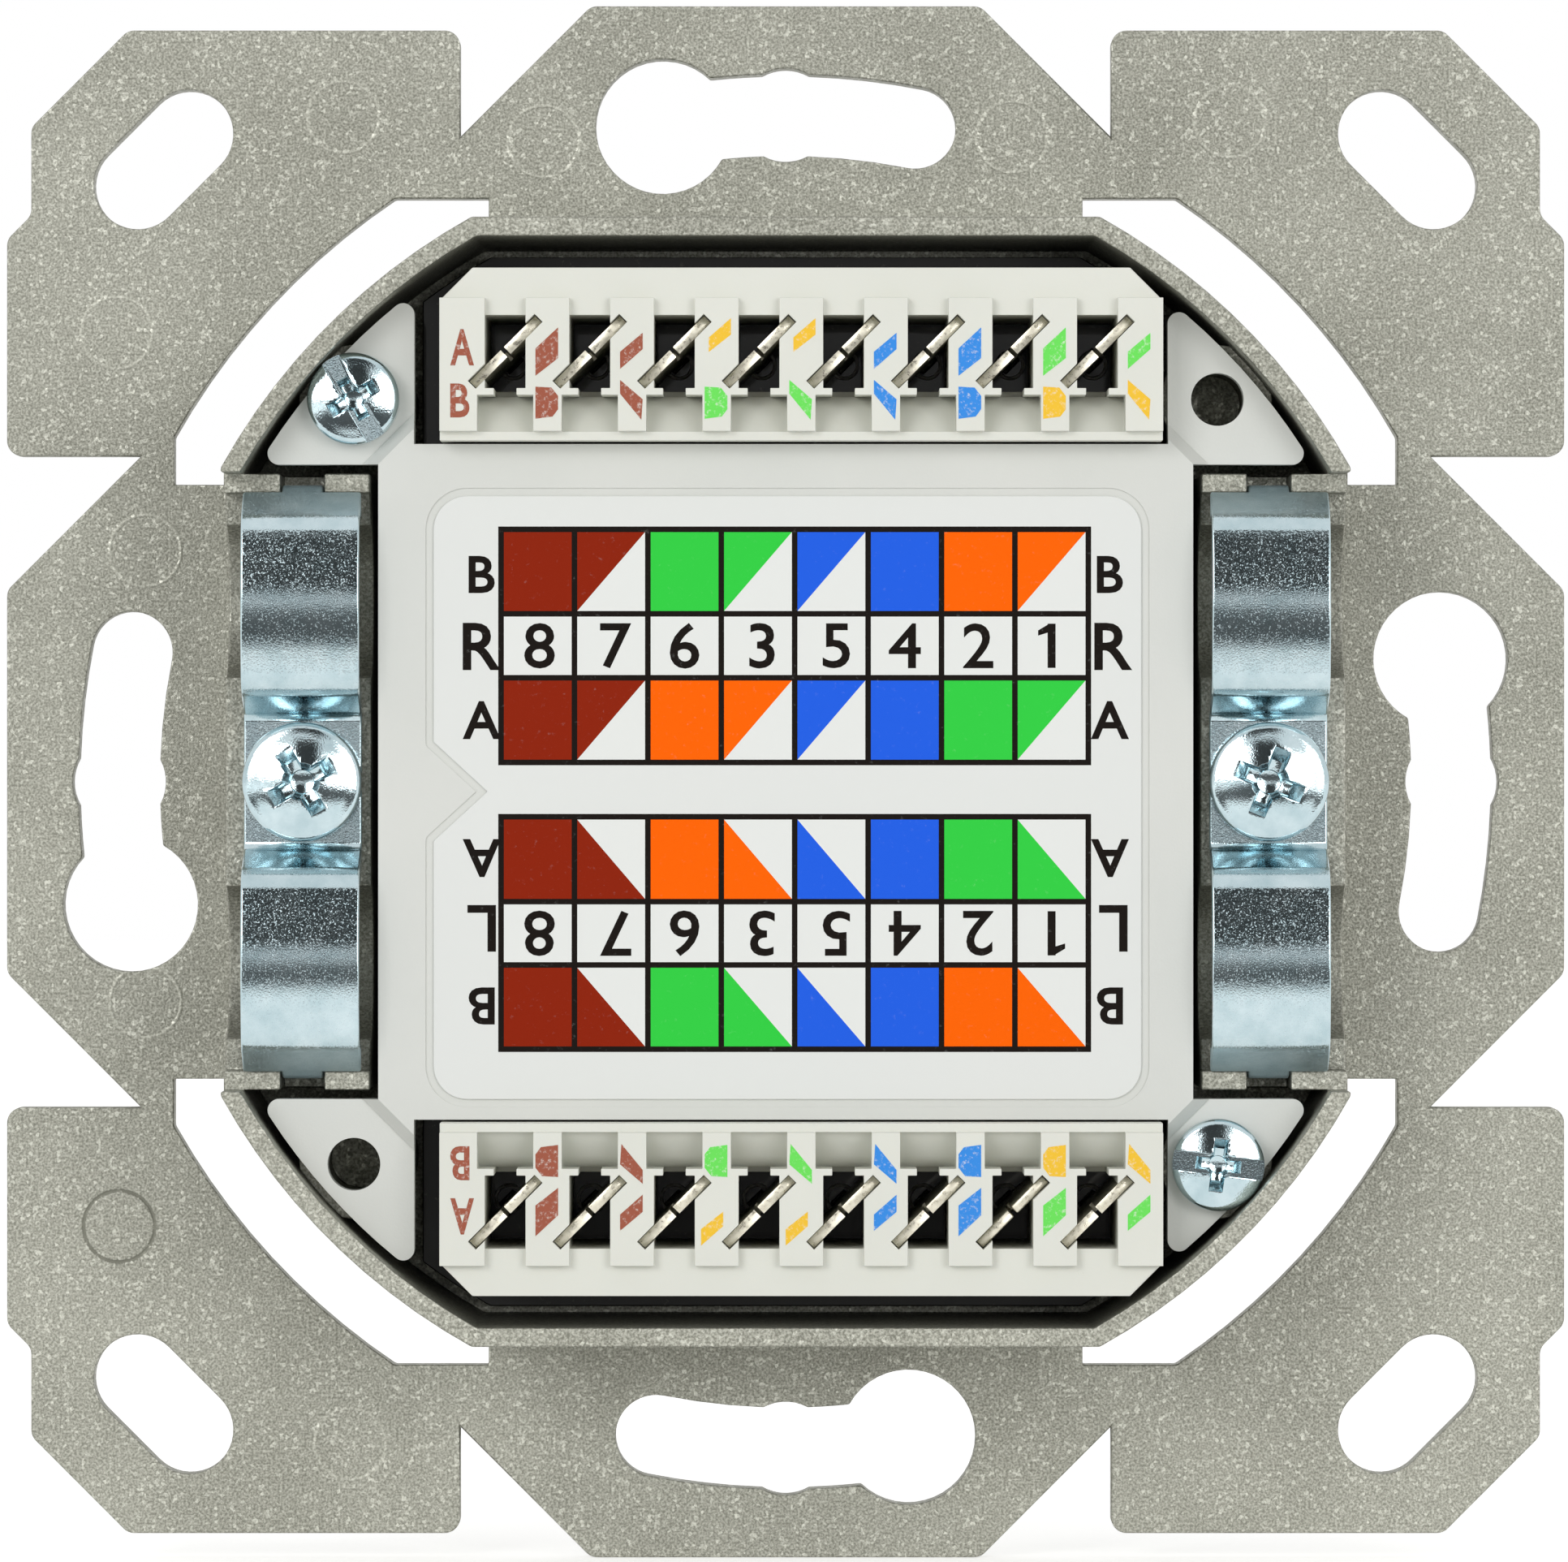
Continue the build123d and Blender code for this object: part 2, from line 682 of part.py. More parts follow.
with BuildPart() as cover_plate:
    with BuildSketch(level(board_top)):
        Rectangle(2 * cover_half_width, 2 * cover_z_edge)
        with GridLocations(2 * cover_screw_x, 2 * cover_screw_z, 2, 2):
            Circle(post_diameter / 2 + post_gap, mode=Mode.SUBTRACT)
    extrude(amount=ear_low - board_top)
    with BuildSketch(level(ear_low)):
        add(cover_outline.sketch)
    extrude(amount=cover_thickness)
    with BuildSketch(level(ear_top)):
        add(cover_outline.sketch)
        Rectangle(cover_step_sum * sqrt(2), cover_step_sum * sqrt(2), rotation=45, mode=Mode.INTERSECT)
    extrude(amount=cover_ear_drop)
    slanted = cover_plate.faces().sort_by(Axis.Y)[0].edges().filter_by(
        lambda e: abs(abs(e.tangent_at(0.5).X) - abs(e.tangent_at(0.5).Z)) < 0.01
    )
    chamfer(slanted, cover_step_chamfer)
    with BuildSketch(level(board_top)):
        Rectangle(2 * (cover_half_width - cover_wall), 2 * (cover_z_edge - cover_wall))
    extrude(amount=cover_top - cover_thickness - board_top, mode=Mode.SUBTRACT)
    with BuildSketch(level(cover_top)):
        offset(label_outline.sketch, amount=label_margin)
    extrude(amount=-label_recess, mode=Mode.SUBTRACT)
    with BuildSketch(level(ear_low)):
        with Locations(*[(-s * cover_screw_x, s * cover_screw_z) for s in (-1, 1)]):
            Circle(cover_hole_diameter / 2)
        with Locations(*[(s * cover_screw_x, s * cover_screw_z) for s in (-1, 1)]):
            Circle(spare_hole_diameter / 2)
    extrude(amount=cover_thickness, mode=Mode.SUBTRACT)

export(cover_plate, "cover_plate")

# Wiring label, stuck in the cover's recess
with BuildPart() as wiring_label:
    with BuildSketch(level(cover_top - label_recess)):
        add(label_outline.sketch)
    extrude(amount=label_thickness)

export(wiring_label, "wiring_label")

# Pan-head screws, one through each strap with a cross recess, and one in two opposite ears of
# the cover with a cross recess and a slot over the whole head
screws = {
    "clamp_screw_left": (-clamp_position, 0, strap_top, clamp_screw_size, clamp_recess_size, 30),
    "clamp_screw_right": (clamp_position, 0, strap_top, clamp_screw_size, clamp_recess_size, -22),
    "cover_screw_top_left": (
        -cover_screw_x, cover_screw_z, ear_top, cover_screw_size, cover_recess_size, -60
    ),
    "cover_screw_bottom_right": (
        cover_screw_x, -cover_screw_z, ear_top, cover_screw_size, cover_recess_size, -7
    ),
}
for name, (x, z, seat, screw_size, recess_size, recess_turn) in screws.items():
    head_diameter, head_height, shank_diameter, shank_length = screw_size
    recess_length, recess_width = recess_size
    with BuildPart() as screw:
        with BuildSketch(level(seat)):
            with Locations((x, z)):
                Circle(head_diameter / 2)
        extrude(amount=head_height)
        chamfer(screw.edges().filter_by(GeomType.CIRCLE).sort_by(Axis.Y)[0], head_edge_chamfer)
        with BuildSketch(level(seat)):
            with Locations((x, z)):
                Circle(shank_diameter / 2)
        extrude(amount=-shank_length)
        with BuildSketch(level(seat + head_height)):
            with Locations((x, z)):
                Rectangle(recess_length, recess_width, rotation=recess_turn)
                Rectangle(recess_width, recess_length, rotation=recess_turn)
        extrude(amount=-recess_depth, mode=Mode.SUBTRACT)
        if screw_size == cover_screw_size:
            with BuildSketch(level(seat + head_height)):
                with Locations((x, z)):
                    Rectangle(2 * head_diameter, slot_width, rotation=recess_turn)
            extrude(amount=-slot_depth, mode=Mode.SUBTRACT)
    export(screw, name)
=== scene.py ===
from math import cos, radians, sin

import bpy
from mathutils import Matrix, Vector


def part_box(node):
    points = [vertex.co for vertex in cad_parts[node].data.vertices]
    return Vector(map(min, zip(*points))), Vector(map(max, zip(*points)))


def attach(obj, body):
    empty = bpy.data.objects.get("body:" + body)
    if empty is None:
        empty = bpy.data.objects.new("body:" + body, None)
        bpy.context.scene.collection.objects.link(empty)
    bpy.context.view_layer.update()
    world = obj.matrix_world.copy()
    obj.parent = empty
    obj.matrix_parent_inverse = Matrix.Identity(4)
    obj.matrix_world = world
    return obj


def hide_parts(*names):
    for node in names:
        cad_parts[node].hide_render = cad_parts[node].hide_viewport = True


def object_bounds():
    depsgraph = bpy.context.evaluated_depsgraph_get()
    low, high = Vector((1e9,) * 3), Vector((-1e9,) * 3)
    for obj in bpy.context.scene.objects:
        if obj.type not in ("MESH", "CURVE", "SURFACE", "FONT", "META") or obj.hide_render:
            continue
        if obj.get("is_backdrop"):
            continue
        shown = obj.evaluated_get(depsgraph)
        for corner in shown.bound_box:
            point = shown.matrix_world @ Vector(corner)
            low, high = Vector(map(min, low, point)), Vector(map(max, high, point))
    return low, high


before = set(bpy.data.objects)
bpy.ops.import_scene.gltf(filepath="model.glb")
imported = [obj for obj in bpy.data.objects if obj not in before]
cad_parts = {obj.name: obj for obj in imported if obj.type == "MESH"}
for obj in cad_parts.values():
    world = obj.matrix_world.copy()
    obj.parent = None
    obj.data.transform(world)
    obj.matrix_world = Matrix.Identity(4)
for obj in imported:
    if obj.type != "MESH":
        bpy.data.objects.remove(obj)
cad_low, cad_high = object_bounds()

# Carrier casting
# One zinc die-casting: plate with fixing slots, wall, clamp seats and jack box. It is blasted,
# which leaves a fine bright grain. Ejector pins leave rings at the places given in millimetres.
# The raised rings are painted lighter as a painted highlight on their edges, and the sunken ring
# is painted darker as a painted shade in its hollow.
mm = 0.001
casting_edge = 0.13 * mm
merge_reach = 0.001 * mm
flat_angle = 0.5
smooth_angle = 32
pin_radius = 1.62 * mm
ring_width = 0.12 * mm
grain_size = 0.11 * mm
sparkle_size = 0.14 * mm
cloud_size = 9.0 * mm
blasted_depth = 0.038 * mm
raised_pins = [
    (-20.1, 30.2), (-11.0, 29.1), (10.3, 29.3), (20.2, 30.0),
    (-30.4, 20.4), (-19.8, -30.1), (-29.1, 10.5), (-29.1, -10.0),
]
sunken_pin = (-30.3, -20.2)


def linear(code):
    """A colour as it is written on a chart, in the light units that a material works in."""
    parts = [int(code[place:place + 2], 16) / 255 for place in (1, 3, 5)]
    return [*(p / 12.92 if p < 0.04045 else ((p + 0.055) / 1.055) ** 2.4 for p in parts), 1.0]


class Value:
    """A number that varies over a surface. A sum or product of it adds its Math node."""

    def __init__(self, finish, socket):
        self.finish = finish
        self.socket = socket

    def __add__(self, other):
        return self.finish.reckon("ADD", self, other)

    def __sub__(self, other):
        return self.finish.reckon("SUBTRACT", self, other)

    def __mul__(self, other):
        return self.finish.reckon("MULTIPLY", self, other)

    def __rsub__(self, other):
        return self.finish.reckon("SUBTRACT", other, self)

    __radd__ = __add__
    __rmul__ = __mul__


class Finish:
    """The material of one kind of surface, with the nodes that give it its look."""

    def __init__(self, name, **fixed):
        self.material = bpy.data.materials.new(name)
        self.material.use_nodes = True
        self.tree = self.material.node_tree
        self.surface = self.tree.nodes["Principled BSDF"]
        self.place = self.node("ShaderNodeTexCoord", {}, {}, "Object")
        self.paint(**fixed)

    def paint(self, **looks):
        """Feeds the shader's own sockets, each with a number or colour or with what varies."""
        for socket, value in looks.items():
            self.feed(self.surface.inputs[socket.replace("_", " ")], value)

    def feed(self, socket, value):
        if isinstance(value, Value):
            self.tree.links.new(value.socket, socket)
        else:
            socket.default_value = value

    def node(self, kind, settings, sockets, output=0):
        """Adds a node of a kind, with its settings made before its sockets are fed."""
        made = self.tree.nodes.new(kind)
        for name, value in settings.items():
            setattr(made, name, value)
        for key, value in sockets.items():
            self.feed(made.inputs[key], value)
        return Value(self, made.outputs[output])

    def reckon(self, operation, first, second=0.0):
        return self.node("ShaderNodeMath", {"operation": operation}, {0: first, 1: second})

    def noise(self, grain, detail=2.0, roughness=0.5):
        """Cloudy variation with spots of about one grain's size, in metres."""
        return self.node(
            "ShaderNodeTexNoise", {},
            {"Vector": self.place, "Scale": 1 / grain, "Detail": detail, "Roughness": roughness}, "Fac",
        )

    def cells(self, grain):
        """Random brightness for each grain of a blasted or crystalline surface."""
        return self.node(
            "ShaderNodeTexVoronoi", {}, {"Vector": self.place, "Scale": 1 / grain}, "Color"
        )

    def ramp(self, value, low, high, dark=0.0, light=1.0):
        """The value between low and high, stretched from dark to light."""
        return self.node(
            "ShaderNodeMapRange", {"interpolation_type": "SMOOTHSTEP"},
            {"Value": value, "From Min": low, "From Max": high, "To Min": dark, "To Max": light},
        )

    def mix(self, share, first, second):
        return self.node("ShaderNodeMix", {"data_type": "RGBA"}, {0: share, 6: first, 7: second}, 2)

    def bump(self, height, depth, strength=1.0):
        """Raises the surface by up to a depth in metres where the height is 1."""
        self.paint(Normal=self.node(
            "ShaderNodeBump", {}, {"Strength": strength, "Distance": depth, "Height": height}, "Normal"
        ))


def dress(piece, *finishes):
    piece.data.materials.clear()
    for finish in finishes:
        piece.data.materials.append(finish.material)


def take(piece):
    """Makes one object the only one that is selected."""
    bpy.ops.object.select_all(action="DESELECT")
    piece.select_set(True)
    bpy.context.view_layer.objects.active = piece


def apply_modifier(piece, kind, **settings):
    take(piece)
    modifier = piece.modifiers.new(kind.title(), kind)
    for name, value in settings.items():
        setattr(modifier, name, value)
    bpy.ops.object.modifier_apply(modifier=modifier.name)


def broken_edges(node, name, edge, segments=2, sharp=28):
    """A copy of a CAD node that stands in its place, with merged facets and softly broken edges."""
    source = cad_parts[node]
    piece = bpy.data.objects.new(name, source.data.copy())
    bpy.context.scene.collection.objects.link(piece)
    take(piece)
    bpy.ops.object.mode_set(mode="EDIT")
    bpy.ops.mesh.select_all(action="SELECT")
    bpy.ops.mesh.remove_doubles(threshold=merge_reach)
    bpy.ops.mesh.dissolve_limited(angle_limit=radians(flat_angle))
    bpy.ops.object.mode_set(mode="OBJECT")
    apply_modifier(
        piece, "BEVEL", width=edge, segments=segments, limit_method="ANGLE", angle_limit=radians(sharp),
        use_clamp_overlap=True,
    )
    bpy.ops.object.shade_smooth_by_angle(angle=radians(smooth_angle))
    apply_modifier(piece, "WEIGHTED_NORMAL", keep_sharp=True)
    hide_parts(node)
    return piece


casting = broken_edges("carrier_casting", "carrier_casting_blasted", casting_edge)
blasted_zinc = Finish("blasted_zinc", Metallic=1.0)


def pin_ring(x, z):
    """1 on the ring that an ejector pin leaves at a place on the plate, and 0 off it."""
    away = blasted_zinc.node(
        "ShaderNodeVectorMath", {"operation": "SUBTRACT"},
        {0: blasted_zinc.place, 1: (x * mm, 0.0, z * mm)},
    )
    across = blasted_zinc.node(
        "ShaderNodeVectorMath", {"operation": "MULTIPLY"}, {0: away, 1: (1.0, 0.0, 1.0)}
    )
    reach = blasted_zinc.node("ShaderNodeVectorMath", {"operation": "LENGTH"}, {0: across}, "Value")
    inside = blasted_zinc.ramp(reach, pin_radius, pin_radius + ring_width, 1.0, 0.0)
    core = blasted_zinc.ramp(reach, pin_radius - ring_width, pin_radius, 1.0, 0.0)
    return inside - core


grain = blasted_zinc.noise(grain_size, 2.0, 0.6)
sparkle = blasted_zinc.node("ShaderNodeSeparateColor", {}, {0: blasted_zinc.cells(sparkle_size)})
clouds = blasted_zinc.noise(cloud_size, 3.0)
raised_rings_and_highlight = sum(pin_ring(x, z) for x, z in raised_pins)
sunken_ring_and_shade = pin_ring(*sunken_pin)
# The tone holds a painted highlight on the raised pin rings and a painted shade in the sunken one.
tone = (
    blasted_zinc.ramp(grain, 0.3, 0.7, 0.05, 0.68) + blasted_zinc.ramp(clouds, 0.3, 0.7, -0.07, 0.07)
    + blasted_zinc.ramp(sparkle, 0.84, 1.0, 0.0, 0.42) + raised_rings_and_highlight * 0.24 - sunken_ring_and_shade * 0.9
)
blasted_zinc.paint(
    Base_Color=blasted_zinc.mix(tone, linear("#75756B"), linear("#C1C1B6")),
    Roughness=blasted_zinc.ramp(sparkle, 0.6, 1.0, 0.58, 0.42),
)
blasted_zinc.bump(grain * 0.7 + raised_rings_and_highlight * 0.6 - sunken_ring_and_shade * 0.9, blasted_depth, 0.7)
dress(casting, blasted_zinc)
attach(casting, "socket")

# Circuit board
# A fibreglass board under black solder mask. A ring of solder holds each contact's tail.
board_edge = 0.05 * mm
board_face = -2.8 * mm
strip_centre = 0.69 * mm
slot_count = 8
slot_pitch = 3.74 * mm
slot_middles = [
    strip_centre + (place - (slot_count - 1) / 2) * slot_pitch for place in range(slot_count)
]
window_middle = 19.03 * mm
tail_right = 0.1 * mm
tail_below = 0.2 * mm
solder_radius = 0.6 * mm
solder_thickness = 0.09 * mm
strips = {"top": 1, "bottom": -1}

board = broken_edges("circuit_board", "circuit_board_masked", board_edge, 1)
solder_mask = Finish("black_solder_mask", Roughness=0.32, Coat_Weight=0.3)
weave = solder_mask.noise(0.35 * mm, 2.0)
dust = solder_mask.ramp(solder_mask.noise(0.5 * mm, 4.0, 0.7), 0.62, 0.75)
solder_mask.paint(Base_Color=solder_mask.mix(dust, linear("#201E1B"), linear("#4A4640")))
solder_mask.bump(weave, 0.01 * mm, 0.5)
dress(board, solder_mask)
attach(board, "socket")


def turned_place(side, x, z):
    """A place on the top strip, or the one that it takes when the strip is turned half round."""
    return (x, z) if side == 1 else (2 * strip_centre - x, -z)


# The solder rings are near white: a painted sheen that stands for the glint of the solder, so that they
# show in the dim windows.
solder_painted_sheen = Finish("solder_painted_sheen", Roughness=0.25)
solder_painted_sheen.paint(Base_Color=solder_painted_sheen.mix(
    solder_painted_sheen.noise(0.3 * mm, 2.0), linear("#C4C0B6"), linear("#F4F1EA")
))
for row, side in strips.items():
    for place, slot_x in enumerate(slot_middles):
        solder_x, solder_z = turned_place(side, slot_x + tail_right, window_middle - tail_below)
        bpy.ops.mesh.primitive_torus_add(
            major_segments=32, minor_segments=10, major_radius=solder_radius,
            minor_radius=solder_thickness, location=(solder_x, board_face, solder_z),
            rotation=(radians(90), 0, 0),
        )
        ring = bpy.context.object
        ring.name = f"solder_ring_{row}_{place + 1}"
        bpy.ops.object.transform_apply(location=True, rotation=True, scale=True)
        bpy.ops.object.shade_smooth()
        dress(ring, solder_painted_sheen)
        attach(ring, "socket")

# Jacks
# Two modular sockets that open into the room: a black moulded housing in a folded, tinned
# shield, with eight gold-plated spring wires that go back through the board.
housing_edge = 0.12 * mm
shield_edge = 0.1 * mm
wire_edge = 0.12 * mm
wire_count = 8
jack_plastic = Finish("jack_plastic", Roughness=0.35)
jack_plastic.paint(Base_Color=jack_plastic.mix(
    jack_plastic.noise(2.0 * mm, 3.0), linear("#1B1B1C"), linear("#2A2A2B")
))
jack_plastic.bump(jack_plastic.noise(0.08 * mm, 2.0), 0.006 * mm, 0.5)
tinned_sheet = Finish("tinned_sheet", Metallic=1.0)
tin_cloud = tinned_sheet.noise(1.6 * mm, 4.0, 0.6)
tinned_sheet.paint(
    Base_Color=tinned_sheet.mix(tin_cloud, linear("#A9A9A4"), linear("#D5D5D0")),
    Roughness=tinned_sheet.ramp(tin_cloud, 0.3, 0.7, 0.22, 0.38),
)
gold_plate = Finish("gold_plate", Metallic=1.0)
gold_cloud = gold_plate.noise(0.8 * mm, 2.0)
gold_plate.paint(
    Base_Color=gold_plate.mix(gold_cloud, linear("#D9A441"), linear("#F0C468")),
    Roughness=gold_plate.ramp(gold_cloud, 0.3, 0.7, 0.18, 0.3),
)
for side in ("left", "right"):
    housing = broken_edges(f"jack_housing_{side}", f"jack_housing_{side}_moulded", housing_edge)
    dress(housing, jack_plastic)
    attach(housing, "socket")
    shield = broken_edges(f"jack_shield_{side}", f"jack_shield_{side}_folded", shield_edge)
    dress(shield, tinned_sheet)
    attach(shield, "socket")
    for place in range(1, wire_count + 1):
        wire = broken_edges(f"jack_wire_{side}_{place}", f"jack_wire_{side}_{place}_plated", wire_edge)
        dress(wire, gold_plate)
        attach(wire, "socket")

# Terminal strips
# White moulded combs over the board, one at the top and one turned half round at the bottom.
# Each pillar has two printed marks for the wire beside it, one for each way of wiring.
strip_edge = 0.09 * mm
strip_plastic = Finish(
    "strip_plastic", Roughness=0.42, Subsurface_Weight=0.12,
    Subsurface_Radius=(0.6 * mm, 0.5 * mm, 0.4 * mm),
)
strip_cloud = strip_plastic.noise(5.0 * mm, 2.0)
strip_dirt = strip_plastic.ramp(strip_plastic.noise(0.5 * mm, 5.0, 0.75), 0.68, 0.78, 0.0, 0.35)
strip_tone = strip_plastic.mix(strip_cloud, linear("#DCDDD4"), linear("#E3E4DB"))
strip_plastic.paint(Base_Color=strip_plastic.mix(strip_dirt, strip_tone, linear("#B9B6AA")))
strip_plastic.bump(strip_plastic.noise(0.25 * mm, 3.0), 0.008 * mm, 0.6)

strip_face = -14.5 * mm
print_depth = 0.012 * mm
mark_weight = 0.05 * mm
capital_share = 0.73

# Places and outlines of the print in millimetres: a sign's x, z, height and spread, and a mark's
# corners to the right of the middle of its slot.
strip_signs = {"A": (-14.3, 19.2, 1.6, 0.65), "B": (-14.4, 16.85, 1.5, 0.8)}
mark_left = 1.34
mark_right = 2.34
slants = {
    "full": [(mark_left, 17.94), (mark_right, 18.72), (mark_right, 20.08), (mark_left, 19.15)],
    "half": [(mark_left, 18.24), (mark_right, 19.12), (mark_right, 19.84), (mark_left, 19.0)],
    "high": [(1.52, 18.99), (2.5, 19.76), (2.5, 20.49), (1.52, 19.63)],
}
blocks = {
    "full": [(mark_left, 16.04), (2.1, 16.14), (mark_right, 16.46), (mark_right, 17.05),
             (2.05, 17.42), (mark_left, 17.46)],
    "half": [(mark_left, 17.15), (2.28, 16.0), (mark_right, 16.9), (mark_left, 17.76)],
}
mark_colours = {"brown": "#A25B47", "yellow": "#F5C53A", "blue": "#3B8FE6", "green": "#6FE35F"}
upper_marks = ["brown full", "brown half", "yellow high", "yellow high",
               "blue half", "blue full", "green full", "green half"]
lower_marks = ["brown full", "brown half", "green full", "green half",
               "blue half", "blue full", "yellow full", "yellow half"]

pad_ink = {}
for ink, code in mark_colours.items():
    pad_print = Finish(f"pad_print_{ink}", Roughness=0.5, Specular_IOR_Level=0.1)
    worn = pad_print.ramp(pad_print.noise(0.16 * mm, 4.0, 0.7), 0.52, 0.72, 0.0, 0.6)
    pad_print.paint(Base_Color=pad_print.mix(worn, linear(code), linear("#F0EDE6")))
    pad_ink[ink] = pad_print


def flat_mark(points, face, depth, finish):
    """A thin closed field of ink with its corners at the given places, on a face that looks at -Y."""
    bpy.ops.object.select_all(action="DESELECT")
    bpy.ops.mesh.primitive_circle_add(vertices=len(points), radius=mm, fill_type="NGON")
    mark = bpy.context.object
    for corner, (x, z) in zip(mark.data.vertices, points):
        corner.co = (x, face, z)
    take(mark)
    bpy.ops.object.mode_set(mode="EDIT")
    bpy.ops.mesh.select_all(action="SELECT")
    bpy.ops.mesh.extrude_region_move(TRANSFORM_OT_translate={"value": (0, -depth, 0)})
    bpy.ops.mesh.select_all(action="SELECT")
    bpy.ops.mesh.normals_make_consistent(inside=False)
    bpy.ops.object.mode_set(mode="OBJECT")
    dress(mark, finish)
    return mark


def printed_sign(sign, x, z, height, face, depth, finish, turn, weight, spread=1.0):
    """A plain sign with its middle at x and z, a weight wider all round than the thin letter,
    spread in width, and raised from a face by the thickness of its ink."""
    bpy.ops.object.select_all(action="DESELECT")
    bpy.ops.object.text_add()
    written = bpy.context.object
    written.data.body = sign
    written.data.size = height / capital_share
    written.data.bevel_depth = weight
    written.data.bevel_resolution = 1
    written.data.resolution_u = 4
    bpy.ops.object.convert(target="MESH")
    written = bpy.context.object
    corners = [Vector(corner.co) for corner in written.data.vertices]
    middle_x = (min(c.x for c in corners) + max(c.x for c in corners)) / 2
    middle_y = (min(c.y for c in corners) + max(c.y for c in corners)) / 2
    written.data.transform(
        Matrix.Translation((x, face - depth / 2, z)) @ Matrix.Rotation(radians(turn), 4, "Y")
        @ Matrix.Rotation(radians(90), 4, "X") @ Matrix.Diagonal((spread, 1, depth / 2 / weight, 1))
        @ Matrix.Translation((-middle_x, -middle_y, 0))
    )
    dress(written, finish)
    return written


def joined(pieces, name):
    bpy.ops.object.select_all(action="DESELECT")
    for piece in pieces:
        piece.select_set(True)
    bpy.context.view_layer.objects.active = pieces[0]
    bpy.ops.object.join()
    pieces[0].name = name
    return pieces[0]


for row, side in strips.items():
    strip = broken_edges(f"terminal_strip_{row}", f"terminal_strip_{row}_moulded", strip_edge)
    dress(strip, strip_plastic)
    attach(strip, "socket")
    marks = []
    for place, slot_x in enumerate(slot_middles):
        for outlines, names in ((slants, upper_marks), (blocks, lower_marks)):
            ink, shape = names[place].split()
            outline = outlines[shape]
            if side == -1:
                outline = [(mark_left + mark_right - x, -z) for x, z in outline]
            corners = [(slot_x + x * mm, z * mm) for x, z in outline]
            marks.append(flat_mark(corners, strip_face, print_depth, pad_ink[ink]))
    for sign, (x, z, height, spread) in strip_signs.items():
        marks.append(printed_sign(
            sign, x * mm, side * z * mm, height * mm, strip_face, print_depth, pad_ink["brown"],
            0 if side == 1 else 180, mark_weight, spread,
        ))
    strip_print = joined(marks, f"strip_print_{row}")
    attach(strip_print, "socket")

# Terminal contacts
# Tinned bronze blades, slit so that a wire pressed in is cut to its core, with a tail through
# the board.
contact_edge = 0.07 * mm
tinned_bronze = Finish("tinned_bronze", Metallic=1.0)
scratches = tinned_bronze.noise(0.22 * mm, 4.0, 0.7)
tinned_bronze.paint(
    Base_Color=tinned_bronze.mix(scratches, linear("#B5AE98"), linear("#EEEADC")),
    Roughness=tinned_bronze.ramp(scratches, 0.3, 0.7, 0.22, 0.45),
)
tinned_bronze.bump(scratches, 0.01 * mm, 0.5)
for row in strips:
    for place in range(1, slot_count + 1):
        contact = broken_edges(
            f"idc_contact_{row}_{place}", f"idc_contact_{row}_{place}_tinned", contact_edge
        )
        dress(contact, tinned_bronze)
        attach(contact, "socket")

# Cover plate
# A grey-white moulding over the middle of the board, with an ear in each corner of the wall.
cover_edge = 0.16 * mm
cover = broken_edges("cover_plate", "cover_plate_moulded", cover_edge, 3)
cover_plastic = Finish("cover_plastic", Roughness=0.4)
cover_cloud = cover_plastic.noise(6.0 * mm, 2.0)
cover_dust = cover_plastic.ramp(cover_plastic.noise(0.45 * mm, 5.0, 0.75), 0.7, 0.8, 0.0, 0.3)
cover_tone = cover_plastic.mix(cover_cloud, linear("#D3D5D0"), linear("#DCDDD8"))
cover_plastic.paint(Base_Color=cover_plastic.mix(cover_dust, cover_tone, linear("#A9A69C")))
cover_plastic.bump(cover_plastic.noise(0.12 * mm, 3.0), 0.008 * mm, 0.6)
dress(cover, cover_plastic)
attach(cover, "socket")

# Wiring label
# A film in the cover's shallow recess, with a table for each jack: the colours of the wires
# for both ways of wiring, and the number of the jack's contact between them.
label_edge = 0.03 * mm
film_white = "#E4E6E3"
label = broken_edges("wiring_label", "wiring_label_film", label_edge, 1)
label_film = Finish("label_film", Roughness=0.3)
film_dust = label_film.ramp(label_film.noise(0.4 * mm, 5.0, 0.75), 0.7, 0.8, 0.0, 0.25)
label_film.paint(Base_Color=label_film.mix(film_dust, linear(film_white), linear("#B4B4AC")))
label_film.bump(label_film.noise(0.6 * mm, 2.0), 0.004 * mm, 0.5)
dress(label, label_film)
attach(label, "socket")

label_face = -12.05 * mm
ink_depth = 0.008 * mm
table_left = -12.64 * mm
column_pitch = 3.26 * mm
line_width = 0.25 * mm
column_count = 8
table_right = table_left + column_count * column_pitch
ink_codes = {
    "black": "#1C1714", "white": "#E8EAE7", "brown": "#8F250B", "green": "#35D046",
    "blue": "#2461E6", "orange": "#FF6600",
}
label_ink = {}
for ink, code in ink_codes.items():
    label_ink[ink] = Finish(f"label_ink_{ink}", Roughness=0.34, Specular_IOR_Level=0.05)
    fleck = label_ink[ink].ramp(label_ink[ink].noise(0.25 * mm, 4.0, 0.7), 0.6, 0.8, 0.0, 0.12)
    label_ink[ink].paint(Base_Color=label_ink[ink].mix(fleck, linear(code), linear(film_white)))
inks = list(label_ink)
letter_heights = {"A": 1.7 * mm, "B": 1.67 * mm, "L": 2.12 * mm, "R": 2.15 * mm}
letter_left = -13.5 * mm
letter_right = {"A": 14.4 * mm, "B": 14.4 * mm, "L": 14.55 * mm, "R": 14.55 * mm}
letter_weight = 0.045 * mm
number_height = 2.04 * mm
number_weight = 0.03 * mm
number_spread = 1.06
number_shift = {"8": 0.08 * mm, "7": 0.2 * mm, "3": 0.18 * mm, "5": 0.22 * mm}
flag_of_one = [(-0.12, 0.97), (-0.12, 0.6), (-0.6, 0.45), (-0.6, 0.68)]


